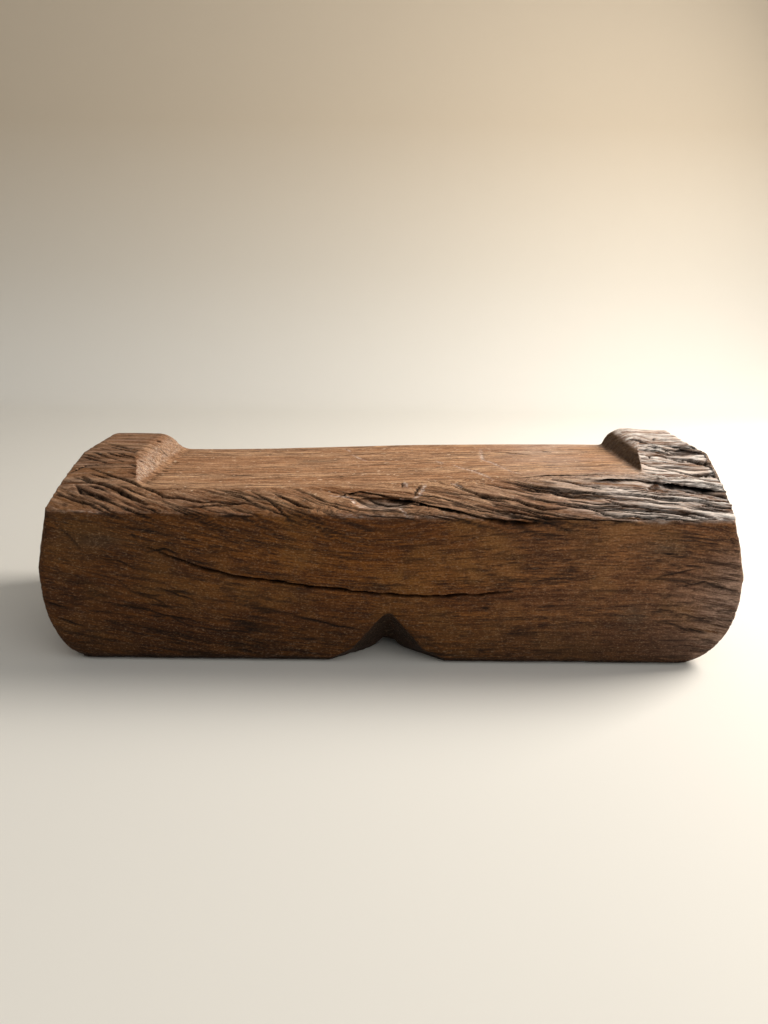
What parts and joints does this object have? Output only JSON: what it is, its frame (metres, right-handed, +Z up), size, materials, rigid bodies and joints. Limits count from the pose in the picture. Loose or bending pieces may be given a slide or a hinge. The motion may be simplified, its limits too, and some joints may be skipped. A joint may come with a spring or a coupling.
{
  "type": "stool",
  "caption": "Low one-piece wooden stool hewn from a baulk, with a sunk seat between two raised end lips and a V-notch under the middle.",
  "frame": {"origin": "on the floor under the centre of the stool's bounding box", "axes": "+X along the length towards the higher lip, +Y from the checked front face to the back, +Z up"},
  "size_m": [0.605, 0.212, 0.1755],
  "materials": {
    "weathered_hardwood": "bare dense hardwood, hewn, worn smooth on the faces and seat, weathered and checked along the upper edges"
  },
  "bodies": {
    "root": {"stool_block": "weathered_hardwood"}
  },
  "joints": []
}
